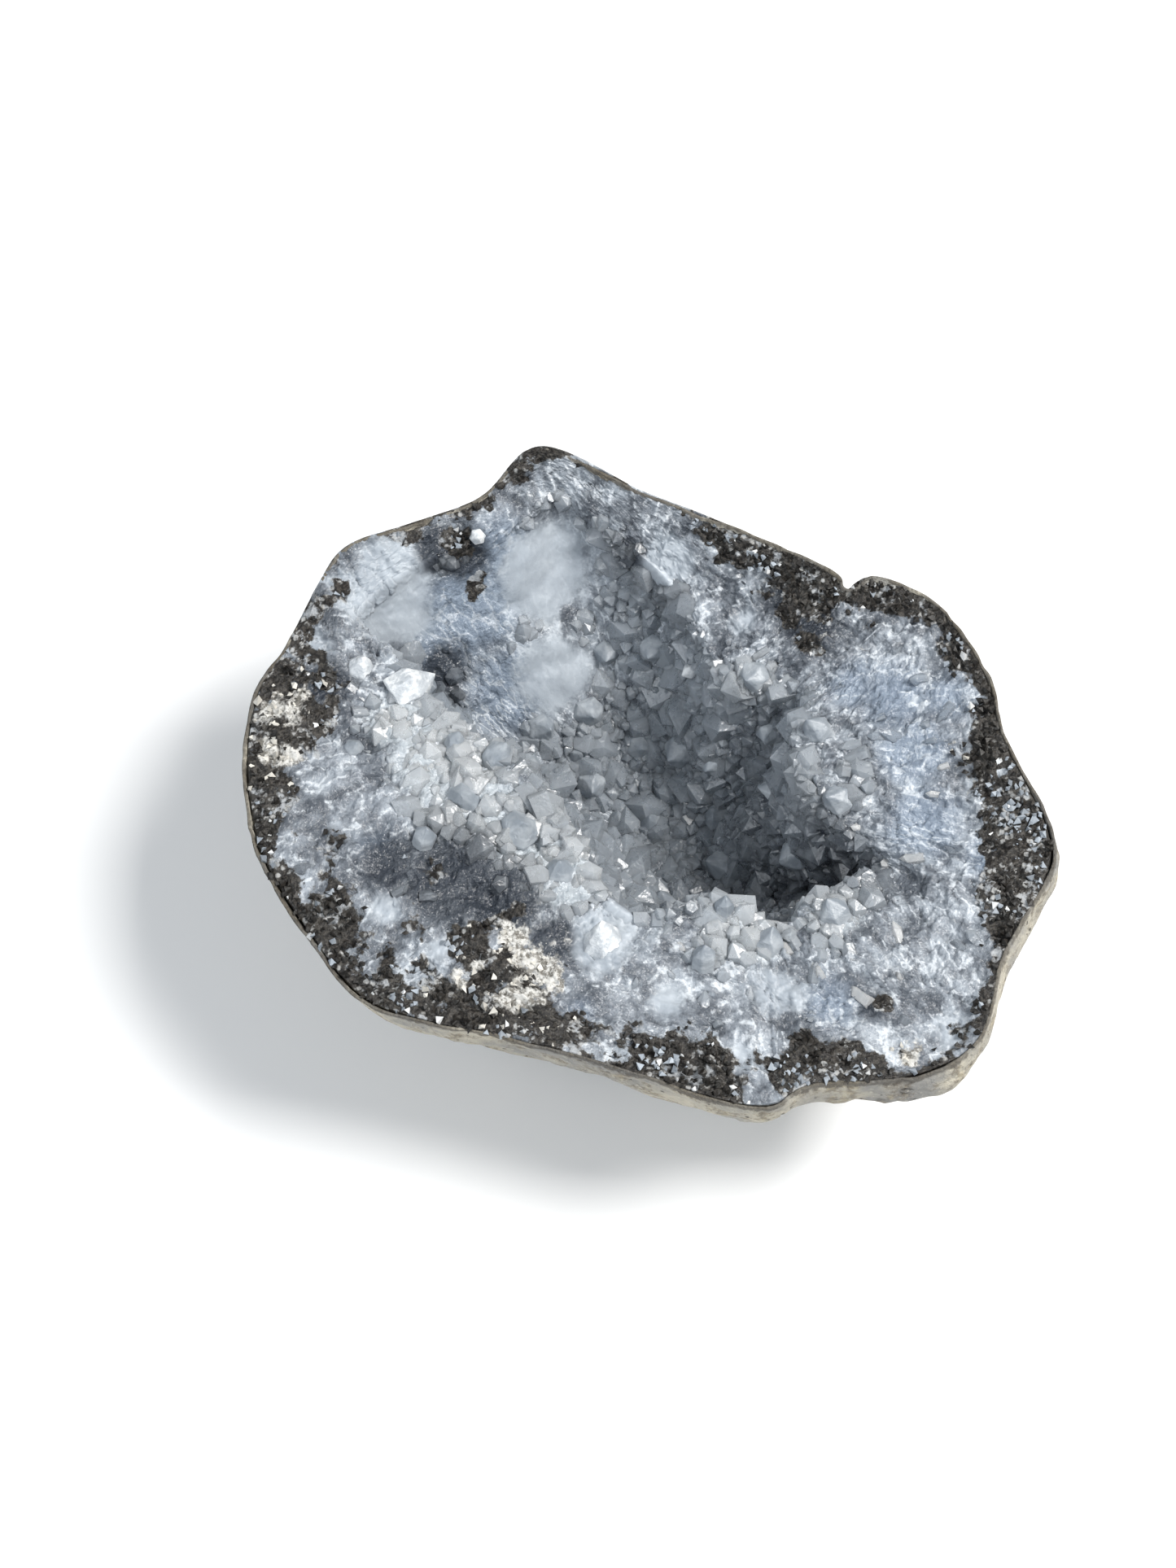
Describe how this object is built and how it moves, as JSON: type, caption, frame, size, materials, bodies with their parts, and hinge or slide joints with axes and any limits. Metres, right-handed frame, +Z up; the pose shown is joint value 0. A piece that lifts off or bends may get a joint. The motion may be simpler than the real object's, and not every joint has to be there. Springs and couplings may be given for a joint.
{
  "type": "chalcedony geode",
  "caption": "Half of a broken chalcedony geode: a lumpy rind, a dark speckled band and a wide quartz face round a deep hollow lined with quartz crystals, lying open side up.",
  "frame": {"origin": "middle of the stone's bounding box, on the surface that it lies on", "axes": "+Z up out of the hollow, +X along the stone's length, +Y from its low broken edge to its high one"},
  "size_m": [0.0902, 0.078, 0.041],
  "materials": {
    "geode_stone": "rough broken chalcedony and quartz, grey-blue, with a brown-black speckled band and a cream rind",
    "clear_quartz": "translucent grey-blue quartz with a glassy lustre",
    "milky_quartz": "milky white quartz with a soft lustre"
  },
  "bodies": {
    "root": {"geode_shell": "geode_stone", "floor_crystal_01": "clear_quartz", "floor_crystal_02": "clear_quartz", "floor_crystal_03": "clear_quartz", "floor_crystal_04": "clear_quartz", "floor_crystal_05": "clear_quartz", "floor_crystal_06": "clear_quartz", "floor_crystal_07": "clear_quartz", "floor_crystal_08": "clear_quartz", "wall_crystal_01": "clear_quartz", "wall_crystal_02": "clear_quartz", "wall_crystal_03": "clear_quartz", "wall_crystal_04": "clear_quartz", "wall_crystal_05": "clear_quartz", "wall_crystal_06": "clear_quartz", "wall_crystal_07": "clear_quartz", "wall_crystal_08": "clear_quartz", "wall_crystal_09": "clear_quartz", "lip_crystal_01": "clear_quartz", "lip_crystal_02": "clear_quartz", "lip_crystal_03": "clear_quartz", "lip_crystal_04": "clear_quartz", "lip_crystal_05": "clear_quartz", "lip_crystal_06": "clear_quartz", "lip_crystal_07": "clear_quartz", "lip_crystal_08": "clear_quartz", "lip_crystal_09": "clear_quartz", "lip_crystal_10": "clear_quartz", "lip_crystal_11": "clear_quartz", "lip_crystal_12": "clear_quartz", "lip_crystal_13": "clear_quartz", "lip_crystal_14": "clear_quartz", "milky_crystal_01": "milky_quartz", "milky_crystal_02": "milky_quartz", "milky_crystal_03": "milky_quartz", "milky_crystal_04": "milky_quartz", "milky_crystal_05": "milky_quartz"}
  },
  "joints": []
}
